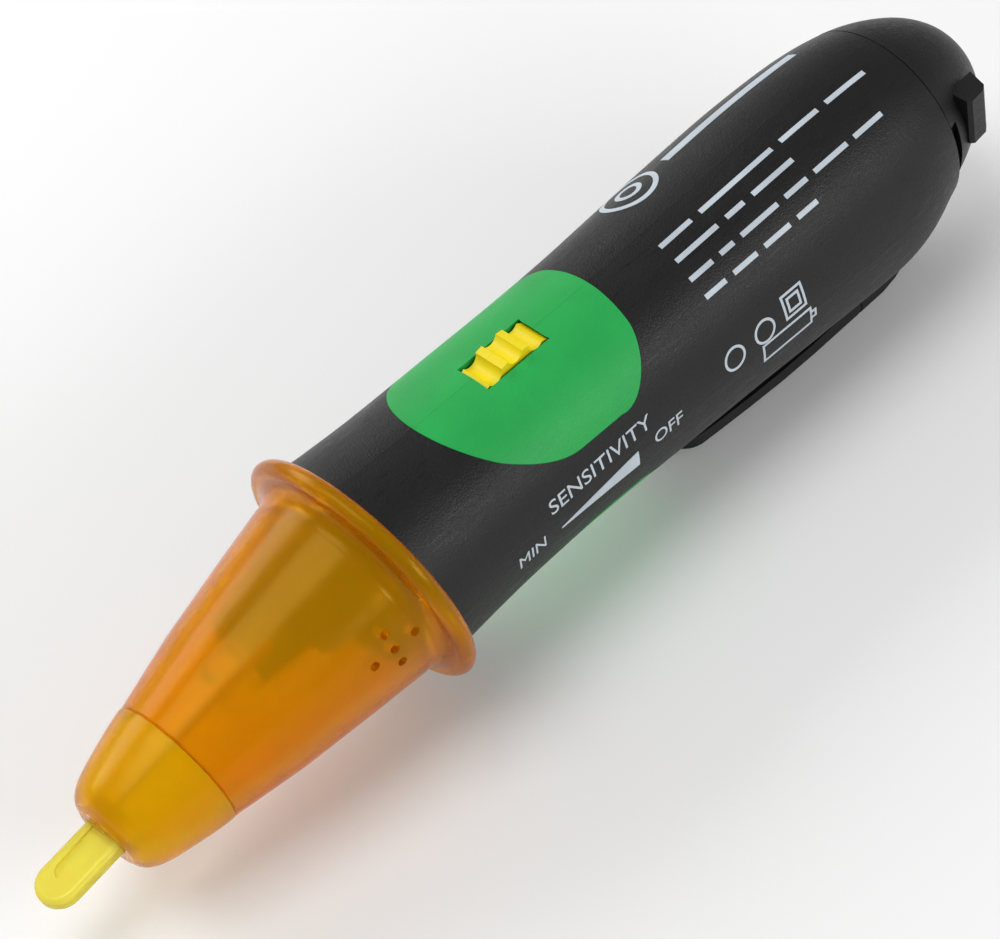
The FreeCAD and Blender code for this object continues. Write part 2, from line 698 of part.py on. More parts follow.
# ---------------------------------------------------------------- circuit board
def build_board():
    main = block("board_main", (board_rear - 60, board_t, 18.4), (60, board_y, -9.2))
    neck = tilted("board_neck", block("neck", (28, board_t, 10), (board_front, board_y, -5)))
    publish(fuse("board_whole", [main, neck]), "circuit_board")
    face = board_y
    mid_x, mid_z = buzzer_x(), buzzer_z()
    can = tube_along("buzzer_can", 5.0, 6.2, (mid_x, face - 6.2, mid_z), "Y")
    hollow = tube_along("buzzer_hollow", 4.45, 4.8, (mid_x, face - 5.7, mid_z), "Y")
    mouth = tube_along("buzzer_mouth", 1.1, 3, (mid_x, face - 7, mid_z), "Y")
    publish(cut("buzzer_cut", can, [hollow, mouth]), "buzzer_case", nose=True)
    publish(tube_along("sounder", 4.43, 0.25, (mid_x, face - 4.4, mid_z), "Y"), "buzzer_disc", nose=True)
    legs = []
    for word, side in (("upper", 1), ("lower", -1)):
        z = side * Dim(2.9)
        y = face + board_t / 2
        lamp = fuse("lamp_" + word, [
            ball("lamp_dome_" + word, 1.5, (board_front - 4.0, y, z)),
            tube_along("lamp_stem_" + word, 1.5, 3.2, (board_front - 4.0, y, z)),
            tube_along("lamp_rim_" + word, 1.85, 0.8, (board_front - 0.8, y, z)),
        ])
        publish(lamp, "indicator_lamp_" + word, nose=True)
        for name, leg_y in (("near", face - 0.25), ("far", face + board_t)):
            legs.append(block("leg_%s_%s" % (word, name), (2.6, 0.25, 0.5), (board_front, leg_y, z - 0.25)))
    publish(group("lamp_legs", legs), "lamp_legs", nose=True)
    strip = block("antenna", (27.5, 0.3, 2), (nose_x + 3.2, face - 0.3, -1))
    publish(strip, "sensor_antenna", nose=True)

    chip = block("chip", (8.6, 1.6, 3.9), (61.4, face - 1.75, -7.2))
    publish(chip, "control_chip")
    pins = []
    for index in range(7):
        for z in (-8.0, -3.3):
            name = "chip_pin%d%s" % (index, "a" if z < -5 else "b")
            pins.append(block(name, (0.45, 0.3, 0.8), (61.7 + 1.27 * index, face - 0.3, z)))
    publish(group("chip_pins", pins), "chip_legs")
    reservoir = tube_along("reservoir", 2.0, 4.6, (64.2, face - 4.6, 5.2), "Y")
    publish(reservoir, "reservoir_capacitor")
    small = []
    for index, (x, z) in enumerate(((68.0, 7.2), (68.0, 5.2), (68.0, 3.2), (90.6, -3.0), (90.6, -5.2), (90.6, -7.4))):
        small.append(block("resistor%d" % index, (2.0, 0.5, 1.2), (x, face - 0.5, z)))
    publish(group("resistors", small), "chip_resistors")
    tiny = [block("transistor%d" % index, (2.9, 1.0, 1.4), (73.2 + 4.6 * index, face - 1.0, -8.6)) for index in range(3)]
    publish(group("transistors", tiny), "transistors")
    back = [block("ceramic%d" % index, (2.0, 0.9, 1.25), (63 + 6 * index, face + board_t, 2.4 * (index % 3) - 4))
            for index in range(5)]
    publish(group("ceramics", back), "ceramic_capacitors")


# ---------------------------------------------------------------- battery compartment
def build_battery():
    wall = tube_along("bulkhead", bore_r - 0.1, 1.5, (board_rear + 0.5, 0, 0))
    holes = []
    for word, z in (("red", 6.0), ("black", -6.0)):
        y = board_y + board_t + 0.5
        holes.append(tube_along("wire_hole_" + word, 0.56, 3, (board_rear, y, z)))
        lead = tube_along("lead_" + word, 0.5, 6.9, (board_rear - 4.9, y, z))
        publish(lead, "battery_lead_" + word)
    publish(cut("bulkhead_cut", wall, holes), "battery_bulkhead")
    plate_x = board_rear + 2.0
    plus = block("contact_plus", (0.5, 7.0, 7.4), (plate_x, -cell_y - 3.5, -3.7))
    publish(plus, "front_contact_positive")
    leaf = block("contact_minus", (0.5, 7.0, 7.4), (plate_x, cell_y - 3.5, -3.7))
    boss = tube_along("contact_boss", 2.2, cell_x - plate_x - 0.4, (plate_x + 0.4, cell_y, 0))
    publish(fuse("contact_minus_whole", [leaf, boss]), "front_contact_negative")
    for word, side in SIDES:
        y = side * cell_y
        can_len = cell_len - 1
        core = tube_along("can_" + word, cell_r - 0.12, can_len, (cell_x, y, 0))
        nub_x = cell_x - 1 if side < 0 else cell_x + can_len
        nub = tube_along("nub_" + word, 1.9, 1.0, (nub_x, y, 0))
        publish(fuse("can_whole_" + word, [core, nub]), "battery_can_" + word)
        sleeve = tube_along("sleeve_" + word, cell_r, can_len - 0.6, (cell_x + 0.3, y, 0))
        inside = tube_along("sleeve_room_" + word, cell_r - 0.12, can_len + 2, (cell_x - 1, y, 0))
        publish(cut("sleeve_cut_" + word, sleeve, [inside]), "battery_sleeve_" + word)


build_shells()
build_nose()
build_cap()
build_clip()
build_wheel()
build_board()
build_battery()


# ---------------------------------------------------------------- check and write
doc.recompute()
faults = [item.Name for item in doc.Objects if "Invalid" in item.State or "Error" in item.State]
for label, item in finished.items():
    if item.Shape.isNull() or not item.Shape.isValid():
        faults.append(label)
if faults:
    raise SystemExit("not written, faults in: " + ", ".join(faults))
box = FreeCAD.BoundBox()
os.makedirs("parts", exist_ok=True)
for label, item in finished.items():
    item.Shape.exportStep("parts/%s.step" % label)
    bounds = item.Shape.optimalBoundingBox(False, False)
    box.add(bounds)
    solids = item.Shape.Solids
    print("%-24s solids %d volume %.1f" % (label, len(solids), sum(solid.Volume for solid in solids)))
print("whole box", [round(value, 3) for value in (box.XMin, box.XMax, box.YMin, box.YMax, box.ZMin, box.ZMax)])
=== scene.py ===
import logging
import math
from dataclasses import dataclass, field
from enum import Enum

import bpy
from mathutils import Matrix, Vector


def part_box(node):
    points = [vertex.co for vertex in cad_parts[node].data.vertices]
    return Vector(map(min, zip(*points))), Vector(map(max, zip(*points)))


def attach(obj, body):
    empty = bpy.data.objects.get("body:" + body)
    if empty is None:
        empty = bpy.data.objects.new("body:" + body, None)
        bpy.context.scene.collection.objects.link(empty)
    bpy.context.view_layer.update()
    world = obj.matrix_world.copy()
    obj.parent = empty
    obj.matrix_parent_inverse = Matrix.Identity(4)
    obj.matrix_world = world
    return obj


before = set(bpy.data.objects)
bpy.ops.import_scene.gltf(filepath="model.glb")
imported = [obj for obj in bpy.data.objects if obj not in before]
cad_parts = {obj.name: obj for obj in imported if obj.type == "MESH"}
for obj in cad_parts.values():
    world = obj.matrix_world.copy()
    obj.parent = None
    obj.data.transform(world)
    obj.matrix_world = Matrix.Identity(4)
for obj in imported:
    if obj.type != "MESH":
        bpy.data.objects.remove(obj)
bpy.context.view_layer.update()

MM = 0.001
log = logging.getLogger("tester")


# ---------------------------------------------------------------- finishes
BROAD_MM = 7
STREAK_MM = 4
SMALLEST_ROUGH = 0.03
COAT_ROUGH = 0.2
EDGE_BLEND = 0.35
GLOW_MM = 2.5
GLOW_RADIUS = (1.0, 0.7, 0.2)
BUMP_DEPTH = 0.3
BRUSH_STRETCH = (1.0, 14.0, 14.0)
STREAK_STRETCH = (1.0, 9.0, 9.0)
STREAK_TURN = (0.3, 0.2, 0.5)


class Grain(Enum):
    """How the surface of a finish is textured."""

    SPARK = "spark"
    SMOOTH = "smooth"
    BRUSHED = "brushed"


@dataclass(frozen=True)
class Finish:
    """One surface finish, made of shader nodes on object coordinates.

    Attributes:
        name: what the finish is called; its material gets the same name with _finish after it.
        colour: linear base colour.
        rough: mean roughness.
        metal: metallic weight.
        clear: how much light passes through, 0 to 1.
        grain: kind of fine texture.
        grain_mm: size of the texture's grains in millimetres.
        relief: strength of the fine bump.
        mottle: how far the colour wanders, 0 to 1.
        glow: subsurface weight.
        ior: index of refraction.
        shine: strength of the specular layer, 0.5 being natural.
        shine_tint: colour of the specular layer.
        coat: clear coat weight.
        edge: colour of a dyed clear body where the eye meets it at a glance, or none.
        scuffs: how much fine scratches roughen it, 0 to 1.
    """

    name: str
    colour: tuple[float, float, float]
    rough: float = 0.45
    metal: float = 0.0
    clear: float = 0.0
    grain: Grain = Grain.SMOOTH
    grain_mm: float = 0.3
    relief: float = 0.1
    mottle: float = 0.08
    glow: float = 0.0
    ior: float = 1.5
    shine: float = 0.5
    shine_tint: tuple[float, float, float] = (1.0, 1.0, 1.0)
    coat: float = 0.0
    edge: tuple[float, float, float] | None = None
    scuffs: float = 0.15

    def material(self) -> bpy.types.Material:
        """Builds the material, or gives it back if it is already there.

        Returns:
            The node material of this finish.
        """
        name = self.name + "_finish"
        found = bpy.data.materials.get(name)
        if found:
            return found
        mat = bpy.data.materials.new(name)
        mat.use_nodes = True
        tree = mat.node_tree
        shader = tree.nodes["Principled BSDF"]
        shader.inputs["Metallic"].default_value = self.metal
        shader.inputs["IOR"].default_value = self.ior
        shader.inputs["Specular IOR Level"].default_value = self.shine
        shader.inputs["Specular Tint"].default_value = (*self.shine_tint, 1)
        shader.inputs["Transmission Weight"].default_value = self.clear
        shader.inputs["Coat Weight"].default_value = self.coat
        shader.inputs["Coat Roughness"].default_value = COAT_ROUGH
        if self.glow:
            shader.inputs["Subsurface Weight"].default_value = self.glow
            shader.inputs["Subsurface Radius"].default_value = GLOW_RADIUS
            shader.inputs["Subsurface Scale"].default_value = GLOW_MM * MM
        where = tree.nodes.new("ShaderNodeTexCoord").outputs["Object"]
        fine = self._fine(tree, where)
        self._tint(tree, where, shader)
        self._sheen(tree, where, fine, shader)
        bump = tree.nodes.new("ShaderNodeBump")
        bump.inputs["Strength"].default_value = self.relief
        bump.inputs["Distance"].default_value = self.grain_mm * MM * BUMP_DEPTH
        tree.links.new(fine, bump.inputs["Height"])
        tree.links.new(bump.outputs["Normal"], shader.inputs["Normal"])
        return mat

    def _fine(self, tree: bpy.types.NodeTree, where: bpy.types.NodeSocket) -> bpy.types.NodeSocket:
        """Makes the fine texture.

        Args:
            tree: the material's nodes.
            where: the coordinates to read.

        Returns:
            The socket with the texture's height, 0 to 1.
        """
        spread = tree.nodes.new("ShaderNodeMapping")
        if self.grain is Grain.BRUSHED:
            spread.inputs["Scale"].default_value = BRUSH_STRETCH
        tree.links.new(where, spread.inputs["Vector"])
        noise = tree.nodes.new("ShaderNodeTexNoise")
        noise.inputs["Scale"].default_value = 1.0 / (self.grain_mm * MM)
        noise.inputs["Detail"].default_value = 3.0
        noise.inputs["Roughness"].default_value = 0.6
        tree.links.new(spread.outputs["Vector"], noise.inputs["Vector"])
        if self.grain is not Grain.SPARK:
            return noise.outputs["Fac"]
        pits = tree.nodes.new("ShaderNodeTexVoronoi")
        pits.inputs["Scale"].default_value = 0.7 / (self.grain_mm * MM)
        tree.links.new(spread.outputs["Vector"], pits.inputs["Vector"])
        both = tree.nodes.new("ShaderNodeMath")
        both.operation = "MULTIPLY_ADD"
        both.inputs[1].default_value = 0.6
        tree.links.new(pits.outputs["Distance"], both.inputs[0])
        tree.links.new(noise.outputs["Fac"], both.inputs[2])
        return both.outputs["Value"]

    def _tint(self, tree: bpy.types.NodeTree, where: bpy.types.NodeSocket, shader: bpy.types.Node) -> None:
        """Lets the base colour wander, and deepens it towards the edge of a dyed clear body.

        Args:
            tree: the material's nodes.
            where: the coordinates to read.
            shader: the shader to colour.
        """
        broad = tree.nodes.new("ShaderNodeTexNoise")
        broad.inputs["Scale"].default_value = 1.0 / (BROAD_MM * MM)
        broad.inputs["Detail"].default_value = 5.0
        tree.links.new(where, broad.inputs["Vector"])
        tint = tree.nodes.new("ShaderNodeValToRGB")
        low, high = tint.color_ramp.elements
        low.position, high.position = 0.3, 0.7
        low.color = (*(part * (1 - self.mottle) for part in self.colour), 1)
        high.color = (*(min(part * (1 + self.mottle), 1) for part in self.colour), 1)
        tree.links.new(broad.outputs["Fac"], tint.inputs["Fac"])
        colour = tint.outputs["Color"]
        if self.edge:
            glance = tree.nodes.new("ShaderNodeLayerWeight")
            glance.inputs["Blend"].default_value = EDGE_BLEND
            deeper = tree.nodes.new("ShaderNodeMix")
            deeper.data_type = "RGBA"
            deeper.inputs["B"].default_value = (*self.edge, 1)
            tree.links.new(glance.outputs["Facing"], deeper.inputs["Factor"])
            tree.links.new(colour, deeper.inputs["A"])
            colour = deeper.outputs["Result"]
        tree.links.new(colour, shader.inputs["Base Color"])

    def _sheen(self, tree: bpy.types.NodeTree, where: bpy.types.NodeSocket,
               fine: bpy.types.NodeSocket, shader: bpy.types.Node) -> None:
        """Varies the roughness with the grain and with faint handling scratches.

        Args:
            tree: the material's nodes.
            where: the coordinates to read.
            fine: height of the fine texture.
            shader: the shader to roughen.
        """
        streaks = tree.nodes.new("ShaderNodeMapping")
        streaks.inputs["Rotation"].default_value = STREAK_TURN
        streaks.inputs["Scale"].default_value = STREAK_STRETCH
        tree.links.new(where, streaks.inputs["Vector"])
        lines = tree.nodes.new("ShaderNodeTexNoise")
        lines.inputs["Scale"].default_value = 1.0 / (STREAK_MM * MM)
        lines.inputs["Detail"].default_value = 2.0
        tree.links.new(streaks.outputs["Vector"], lines.inputs["Vector"])
        rub = tree.nodes.new("ShaderNodeMapRange")
        rub.inputs["From Min"].default_value = 0.55
        rub.inputs["From Max"].default_value = 0.75
        rub.inputs["To Max"].default_value = -self.scuffs
        tree.links.new(lines.outputs["Fac"], rub.inputs["Value"])
        sheen = tree.nodes.new("ShaderNodeMapRange")
        spread = 0.12 if self.grain is Grain.SPARK else 0.06
        sheen.inputs["To Min"].default_value = max(self.rough - spread, SMALLEST_ROUGH)
        sheen.inputs["To Max"].default_value = min(self.rough + spread, 1)
        tree.links.new(fine, sheen.inputs["Value"])
        total = tree.nodes.new("ShaderNodeMath")
        total.use_clamp = True
        tree.links.new(sheen.outputs["Result"], total.inputs[0])
        tree.links.new(rub.outputs["Result"], total.inputs[1])
        tree.links.new(total.outputs["Value"], shader.inputs["Roughness"])

    def dress(self, *pieces: bpy.types.Object) -> None:
        """Puts the finish on pieces in place of what they have.

        Args:
            pieces: the objects to dress.
        """
        for piece in pieces:
            piece.data.materials.clear()
            piece.data.materials.append(self.material())


LENS = Finish("lens_orange", (1.0, 0.52, 0.0), rough=0.2, clear=0.75, glow=0.3, grain_mm=1.2, relief=0.05,
              ior=1.4, shine=0.35, shine_tint=(1.0, 0.72, 0.15), mottle=0.03, edge=(1.0, 0.15, 0.0),
              scuffs=0.04)
NOSE = Finish("nose_orange", (1.0, 0.64, 0.0), rough=0.22, clear=0.65, glow=0.35, grain_mm=1.2, relief=0.03,
              ior=1.4, shine=0.35, shine_tint=(1.0, 0.8, 0.2), mottle=0.03, edge=(1.0, 0.28, 0.0),
              scuffs=0.04)
TONGUE = Finish("tongue_pale", (1.0, 0.88, 0.12), rough=0.2, clear=0.5, glow=0.5, grain_mm=1.2, relief=0.03,
                mottle=0.04, ior=1.4, edge=(1.0, 0.72, 0.04), shine_tint=(1.0, 0.9, 0.5))
CASE = Finish("case_black", (0.006, 0.0066, 0.006), rough=0.36, grain=Grain.SPARK, grain_mm=0.2, relief=0.7,
              mottle=0.15, shine=0.32)
CAP = Finish("cap_black", (0.0055, 0.0062, 0.0055), rough=0.38, grain=Grain.SPARK, grain_mm=0.2, relief=0.6,
             mottle=0.15, shine=0.32)
CLIP = Finish("clip_black", (0.006, 0.0065, 0.006), rough=0.36, grain=Grain.SPARK, grain_mm=0.25, relief=0.5,
              mottle=0.12, shine=0.32)
GREEN = Finish("inlay_green", (0.012, 0.38, 0.072), rough=0.45, grain=Grain.SPARK, grain_mm=0.18, relief=0.4,
               mottle=0.07, scuffs=0.08, shine=0.35)
YELLOW = Finish("wheel_yellow", (0.88, 0.71, 0.006), rough=0.38, grain_mm=0.35, relief=0.2, mottle=0.05)
PRINT = Finish("print_silver", (0.52, 0.58, 0.64), rough=0.5, grain_mm=0.12, relief=0.3, mottle=0.1)
STEEL = Finish("spring_steel", (0.6, 0.6, 0.58), rough=0.28, metal=1.0, grain=Grain.BRUSHED, grain_mm=0.2)
NICKEL = Finish("contact_nickel", (0.68, 0.66, 0.6), rough=0.25, metal=1.0, grain=Grain.BRUSHED,
                grain_mm=0.15)
CAN = Finish("can_steel", (0.72, 0.7, 0.66), rough=0.22, metal=1.0, grain=Grain.BRUSHED, grain_mm=0.12)
TIN = Finish("solder_tin", (0.7, 0.7, 0.7), rough=0.2, metal=1.0, grain_mm=0.4, relief=0.3)
BRASS = Finish("disc_brass", (0.78, 0.57, 0.24), rough=0.28, metal=1.0, grain=Grain.BRUSHED, grain_mm=0.15)
BOARD = Finish("board_green", (0.09, 0.30, 0.03), rough=0.3, grain_mm=0.5, mottle=0.3, coat=0.4)
CHIP = Finish("chip_epoxy", (0.02, 0.02, 0.022), rough=0.5, grain=Grain.SPARK, grain_mm=0.1)
POT = Finish("pot_black", (0.025, 0.025, 0.025), rough=0.5, grain=Grain.SPARK, grain_mm=0.2)
ROTOR = Finish("rotor_white", (0.75, 0.75, 0.72), rough=0.4, grain_mm=0.3)
BUZZER = Finish("buzzer_black", (0.012, 0.012, 0.012), rough=0.3, grain_mm=0.3)
SLEEVE = Finish("capacitor_sleeve", (0.015, 0.015, 0.09), rough=0.3, grain_mm=0.3, coat=0.3)
TAN = Finish("ceramic_tan", (0.5, 0.36, 0.2), rough=0.5, grain=Grain.SPARK, grain_mm=0.1)
CLEAR = Finish("lamp_clear", (1.0, 0.92, 0.8), rough=0.06, clear=0.9, grain_mm=1.0, relief=0.05)
RED = Finish("lead_red", (0.55, 0.01, 0.01), rough=0.35, grain_mm=0.3)
BLACK = Finish("lead_black", (0.015, 0.015, 0.015), rough=0.35, grain_mm=0.3)
GREY = Finish("bulkhead_grey", (0.05, 0.05, 0.05), rough=0.5, grain=Grain.SPARK, grain_mm=0.25)
JACKET = Finish("sleeve_print", (0.06, 0.12, 0.2), rough=0.22, grain_mm=0.6, coat=0.6, mottle=0.2)
RUBBER = Finish("seal_rubber", (0.013, 0.013, 0.013), rough=0.7, grain=Grain.SPARK, grain_mm=0.15)

CAD_FINISHES = {
    LENS: ("nose_cone",),
    NOSE: ("nose_cap",),
    TONGUE: ("sensing_tip",),
    CASE: ("case_shell_right", "case_shell_left"),
    CAP: ("end_cap",),
    CLIP: ("pocket_clip", "clip_root"),
    GREEN: ("thumb_inlay_right", "thumb_inlay_left", "palm_inlay_right", "palm_inlay_left"),
    YELLOW: ("thumbwheel",),
    STEEL: ("cap_spring_right", "cap_spring_left"),
    NICKEL: ("cap_contact_plate", "front_contact_positive", "front_contact_negative"),
    CAN: ("battery_can_right", "battery_can_left"),
    TIN: ("potentiometer_terminals", "lamp_legs", "chip_legs"),
    BRASS: ("buzzer_disc", "sensor_antenna"),
    BOARD: ("circuit_board",),
    CHIP: ("control_chip", "chip_resistors", "transistors"),
    POT: ("potentiometer_body",),
    ROTOR: ("potentiometer_rotor",),
    BUZZER: ("buzzer_case",),
    SLEEVE: ("reservoir_capacitor",),
    TAN: ("ceramic_capacitors",),
    CLEAR: ("indicator_lamp_upper", "indicator_lamp_lower"),
    RED: ("battery_lead_red",),
    BLACK: ("battery_lead_black",),
    GREY: ("battery_bulkhead",),
    JACKET: ("battery_sleeve_right", "battery_sleeve_left"),
    RUBBER: ("cap_seal_ring",),
}


# ---------------------------------------------------------------- mesh helpers
def nothing_selected() -> None:
    """Deselects every object."""
    bpy.ops.object.select_all(action="DESELECT")


def joined(pieces: list[bpy.types.Object], name: str) -> bpy.types.Object:
    """Joins meshes into one piece.

    Args:
        pieces: the meshes.
        name: name of the whole.

    Returns:
        The joined piece.
    """
    nothing_selected()
    for piece in pieces:
        piece.select_set(True)
    bpy.context.view_layer.objects.active = pieces[0]
    if len(pieces) > 1:
        bpy.ops.object.join()
    pieces[0].name = name
    pieces[0].data.name = name
    return pieces[0]


# ---------------------------------------------------------------- print on the barrel
# The wheel's legends: text, height, length, place along the barrel and angle round it.
LEGENDS = (
    ("MIN", 1.75, 4.6, 69.3, 92.5),
    ("SENSITIVITY", 2.0, 17.8, 82.3, 77.5),
    ("OFF", 1.85, 4.9, 93.6, 91.0),
)
# The rising mark under them: its length, its two heights, its place and its angle.
RAMP_LENGTH, RAMP_LOW, RAMP_HIGH, RAMP_X, RAMP_ANGLE = 13.8, 0.24, 2.5, 74.4, 94.0
# Rows of plain bars: the angle round the barrel, then where each bar starts and ends along it.
BAR_ROWS = (
    (13.0, ((106.2, 111.8), (113.4, 126.6), (128.2, 135.2), (136.8, 144.2))),
    (24.0, ((106.2, 113.6), (115.2, 118.4), (120.0, 127.4))),
    (35.5, ((105.8, 109.8), (111.2, 113.6), (115.0, 121.6), (123.0, 127.0), (128.4, 134.6), (136.0, 141.4))),
    (47.0, ((106.0, 109.6), (111.0, 115.2), (116.6, 121.2), (122.6, 126.2))),
)
BAR_HEIGHT = 0.693
# The emblem: two rings and a stroke on the far side of the barrel.
EMBLEM_X, EMBLEM_ANGLE, EMBLEM_LINE = 112.0, -33.0, 0.75
EMBLEM_OUTER, EMBLEM_INNER = 3.9, 1.6
STROKE_START, STROKE_END, STROKE_HEIGHT, STROKE_ANGLE = 118.6, 142.5, 1.8, -32.0
MARK_LINE = 0.36


@dataclass
class BarrelPrint:
    """Silver print on the barrel: the wheel's legends, a ramp mark and plain bars.

    Flat shapes are drawn at the size they are printed, x along the barrel and y round it, and are then
    wrapped on the barrel.  Lengths are in millimetres and angles in degrees from the top to the print side.

    Attributes:
        wheel_x: place of the thumbwheel's axle along the barrel.
        wheel_z: height of that axle above the barrel's axis.
        lift: how far the print's face stands off the skin.
        deep: thickness of the print's edge.
        far: where the measuring rays start, from the axis.
        shift: what takes the barrel's own x to the frame's.
        axis_z: height of the barrel's axis in the frame.
        shells: the two halves of the barrel.
    """

    wheel_x: float = 81.8
    wheel_z: float = 6.0
    lift: float = 0.05
    deep: float = 0.14
    far: float = 40.0
    shift: float = field(init=False)
    axis_z: float = field(init=False)
    shells: tuple = field(init=False)

    def __post_init__(self) -> None:
        """Finds the barrel's own zero along x and its axis from the thumbwheel's place."""
        low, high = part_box("thumbwheel")
        middle = (low + high) / 2 / MM
        self.shift = middle.x - self.wheel_x
        self.axis_z = middle.z - self.wheel_z
        self.shells = tuple(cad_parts[name] for name in ("case_shell_right", "case_shell_left"))

    def radius(self, x: float, angle: float) -> float:
        """Measures the barrel from its axis out to its skin.

        Args:
            x: distance along the barrel from the tip.
            angle: angle round it, in degrees from the top to the print side.

        Returns:
            The radius in millimetres.
        """
        out = Vector((0, -math.sin(math.radians(angle)), math.cos(math.radians(angle))))
        start = Vector((x + self.shift, 0, self.axis_z)) + out * self.far
        hits = [shell.ray_cast(start * MM, -out) for shell in self.shells]
        return max(self.far - (place / MM - start).length for found, place, _normal, _face in hits if found)

    def wrap(self, piece: bpy.types.Object, x: float, angle: float, turn: float = 0.0) -> None:
        """Wraps a flat shape round the barrel and gives it a thin edge.

        Args:
            piece: flat mesh in millimetres, lying in its own XY plane.
            x: where its origin goes along the barrel.
            angle: where its origin goes round the barrel.
            turn: how far it is turned on the surface.
        """
        spin = Matrix.Rotation(math.radians(turn), 2)
        mesh = piece.data
        for vert in mesh.vertices:
            flat = spin @ Vector((vert.co.x, vert.co.y))
            along = x + flat.x
            middle = self.radius(along, angle)
            phi = math.radians(angle) - flat.y / middle
            rad = self.radius(along, math.degrees(phi)) + self.lift
            vert.co = Vector(((along + self.shift) * MM, -rad * math.sin(phi) * MM,
                              (rad * math.cos(phi) + self.axis_z) * MM))
        nothing_selected()
        piece.select_set(True)
        bpy.context.view_layer.objects.active = piece
        bpy.ops.object.mode_set(mode="EDIT")
        bpy.ops.mesh.select_all(action="SELECT")
        bpy.ops.mesh.remove_doubles(threshold=1e-7)
        bpy.ops.object.mode_set(mode="OBJECT")
        axis = Vector((0, 0, self.axis_z * MM))
        outward = sum(face.area * face.normal.yz.dot((face.center - axis).yz) for face in mesh.polygons)
        if outward < 0:
            mesh.flip_normals()
        wall = piece.modifiers.new("edge", "SOLIDIFY")
        wall.thickness = self.deep * MM
        wall.offset = -1
        bpy.ops.object.modifier_apply(modifier="edge")

    def strip(self, corners: tuple, cuts: int) -> bpy.types.Object:
        """Makes a flat four-cornered patch, cut into strips along its length.

        Args:
            corners: its corners, (x, y) in millimetres, counterclockwise.
            cuts: number of cuts.

        Returns:
            The flat patch.
        """
        nothing_selected()
        bpy.ops.mesh.primitive_plane_add(size=1)
        patch = bpy.context.object
        for vert in patch.data.vertices:
            low = corners[0] if vert.co.x < 0 else corners[1]
            high = corners[3] if vert.co.x < 0 else corners[2]
            x, y = low if vert.co.y < 0 else high
            vert.co = Vector((x, y, 0))
        bpy.ops.object.mode_set(mode="EDIT")
        bpy.ops.mesh.select_all(action="SELECT")
        bpy.ops.mesh.subdivide(number_cuts=cuts)
        bpy.ops.object.mode_set(mode="OBJECT")
        return patch

    def word(self, text: str, height: float, length: float) -> bpy.types.Object:
        """Makes a flat word centred on its origin.

        Args:
            text: the letters.
            height: height of a capital.
            length: length of the whole word.

        Returns:
            The flat word.
        """
        nothing_selected()
        bpy.ops.object.text_add()
        word = bpy.context.object
        word.data.body = text
        word.data.align_x = "CENTER"
        word.data.align_y = "CENTER"
        word.data.size = 10
        bpy.ops.object.convert(target="MESH")
        word = bpy.context.object
        xs = [vert.co.x for vert in word.data.vertices]
        ys = [vert.co.y for vert in word.data.vertices]
        middle = Vector(((min(xs) + max(xs)) / 2, (min(ys) + max(ys)) / 2))
        for vert in word.data.vertices:
            vert.co = Vector(((vert.co.x - middle.x) * length / (max(xs) - min(xs)),
                              (vert.co.y - middle.y) * height / (max(ys) - min(ys)), 0))
        return word

    def loop(self, points: list[tuple[float, float]], width: float) -> bpy.types.Object:
        """Makes a flat closed line.

        Args:
            points: corners of its middle line.
            width: its width.

        Returns:
            The flat line.
        """
        count = len(points)
        area = sum(points[i][0] * points[(i + 1) % count][1] - points[(i + 1) % count][0] * points[i][1]
                   for i in range(count))
        sign = 1 if area > 0 else -1
        verts, faces = [], []
        for index, point in enumerate(points):
            before, after = Vector(points[index - 1]), Vector(points[(index + 1) % count])
            here = Vector(point)
            first, second = (here - before).normalized(), (after - here).normalized()
            miter = (Vector((first.y, -first.x)) + Vector((second.y, -second.x))).normalized() * sign
            stretch = width / 2 / max(abs(miter.dot(Vector((first.y, -first.x)))), 0.3)
            verts.append((*(here + miter * stretch), 0))
            verts.append((*(here - miter * stretch), 0))
        for index in range(count):
            a, b = 2 * index, 2 * ((index + 1) % count)
            faces.append((a, b, b + 1, a + 1) if sign > 0 else (a, a + 1, b + 1, b))
        mesh = bpy.data.meshes.new("loop")
        mesh.from_pydata(verts, [], faces)
        line = bpy.data.objects.new("loop", mesh)
        bpy.context.scene.collection.objects.link(line)
        return line

    def rect(self, wide: float, high: float, steps: int = 4) -> list[tuple[float, float]]:
        """Gives the corners of a rectangle's outline, with points along its sides.

        Args:
            wide: its length along the barrel.
            high: its height round the barrel.
            steps: number of points on each side.

        Returns:
            The points, (x, y) in millimetres.
        """
        corners = [(-wide / 2, -high / 2), (wide / 2, -high / 2), (wide / 2, high / 2), (-wide / 2, high / 2)]
        points = []
        for index, (x, y) in enumerate(corners):
            nx, ny = corners[(index + 1) % 4]
            points += [(x + (nx - x) * k / steps, y + (ny - y) * k / steps) for k in range(steps)]
        return points

    def circle(self, rad: float, steps: int = 28) -> list[tuple[float, float]]:
        """Gives the points of a circle's outline.

        Args:
            rad: its radius.
            steps: number of points.

        Returns:
            The points, (x, y) in millimetres.
        """
        return [(rad * math.cos(2 * math.pi * k / steps), rad * math.sin(2 * math.pi * k / steps))
                for k in range(steps)]

    def bar(self, start: float, end: float, high: float, angle: float, cuts: int = 5) -> bpy.types.Object:
        """Prints a straight bar along the barrel.

        Args:
            start: where it starts along the barrel.
            end: where it ends.
            high: its height.
            angle: its place round the barrel.
            cuts: number of cuts along it.

        Returns:
            The bar.
        """
        half = high / 2
        bar = self.strip(((start, -half), (end, -half), (end, half), (start, half)), cuts)
        self.wrap(bar, 0, angle)
        return bar

